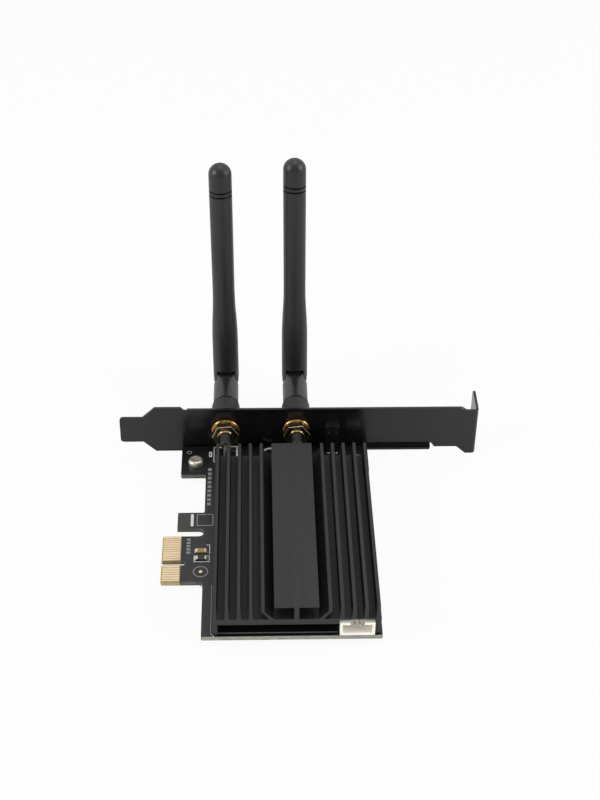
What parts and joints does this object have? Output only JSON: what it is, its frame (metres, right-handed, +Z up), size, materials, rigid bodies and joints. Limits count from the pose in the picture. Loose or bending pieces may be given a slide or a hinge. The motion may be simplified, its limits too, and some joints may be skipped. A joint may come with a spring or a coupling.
{
  "type": "pcie wifi card",
  "caption": "Wireless network card with a finned black heatsink on an edge-connector board, a full-height slot bracket and folding stick antennas.",
  "frame": {"origin": "card edge of the connector on the board's component face, at the centre line of the key notch", "axes": "+X along the bracket from its tongue to its screw tab, +Y out through the bracket to the antennas, +Z up from the component face"},
  "size_m": [0.12, 0.1312, 0.0918],
  "materials": {
    "board": "black solder mask over glass-epoxy, satin",
    "gold": "thin gold plate, polished",
    "black_anodised": "black anodised, fine extrusion lines",
    "brass_plain": "turned brass",
    "steel": "plain zinc-plated steel",
    "black_coat": "black electro-coat, satin",
    "nickel": "nickel plate",
    "cream_nylon": "natural nylon",
    "tinned": "tin plate",
    "module_mask": "dark green solder mask",
    "black_nylon": "moulded black nylon",
    "shield_can": "tinned sheet",
    "soft_pad": "soft grey-blue gap pad",
    "lamp_lens": "diffused epoxy",
    "chip": "ceramic chip",
    "white_polymer": "white fluoropolymer",
    "shrink_sleeve": "heat-shrink tube",
    "cable_jacket": "smooth black cable jacket",
    "collar_plastic": "straight-knurled black plastic",
    "antenna_plastic": "satin black moulding"
  },
  "bodies": {
    "card": {"board": "board", "edge_contacts": "gold", "heatsink": "black_anodised", "heatsink_spacers": "brass_plain", "heatsink_screws": "steel", "bracket": "black_coat", "bracket_screws": "nickel", "header_housing": "cream_nylon", "header_pins": "tinned", "module_board": "module_mask", "module_socket": "black_nylon", "module_shield": "shield_can", "thermal_pad": "soft_pad", "module_standoff": "brass_plain", "module_screw": "steel", "lamp_holder": "black_nylon", "lamp": "lamp_lens", "lamp_leads": "tinned", "chip_parts": "chip", "left_jack": "gold", "left_jack_washer": "gold", "left_jack_nut": "gold", "left_jack_insulator": "white_polymer", "left_jack_contact": "gold", "left_cable_sleeve": "shrink_sleeve", "left_cable": "cable_jacket", "left_cable_plug": "tinned", "left_antenna_collar": "collar_plastic", "right_jack": "gold", "right_jack_washer": "gold", "right_jack_nut": "gold", "right_jack_insulator": "white_polymer", "right_jack_contact": "gold", "right_cable_sleeve": "shrink_sleeve", "right_cable": "cable_jacket", "right_cable_plug": "tinned", "right_antenna_collar": "collar_plastic"},
    "left_swivel_base": {"left_antenna_insert": "gold", "left_antenna_base": "antenna_plastic"},
    "left_folding_stick": {"left_antenna_stick": "antenna_plastic", "left_hinge_pin": "steel"},
    "right_swivel_base": {"right_antenna_insert": "gold", "right_antenna_base": "antenna_plastic"},
    "right_folding_stick": {"right_antenna_stick": "antenna_plastic", "right_hinge_pin": "steel"}
  },
  "joints": [
    {"name": "left_swivel", "type": "hinge", "parent": "card", "child": "left_swivel_base", "pos_m": [0.01935, 0.07, 0.00695], "axis": [0, 1, 0], "range_deg": [-180, 4]},
    {"name": "left_fold", "type": "hinge", "parent": "left_swivel_base", "child": "left_folding_stick", "pos_m": [0.01935, 0.08455, 0.00695], "axis": [0.9999, 0, 0.0105], "range_deg": [-83.9, 6.1]},
    {"name": "right_swivel", "type": "hinge", "parent": "card", "child": "right_swivel_base", "pos_m": [0.04315, 0.07, 0.00695], "axis": [0, 1, 0], "range_deg": [-4, 180]},
    {"name": "right_fold", "type": "hinge", "parent": "right_swivel_base", "child": "right_folding_stick", "pos_m": [0.04315, 0.08455, 0.00695], "axis": [1, 0, 0.0052], "range_deg": [-81, 9]}
  ]
}
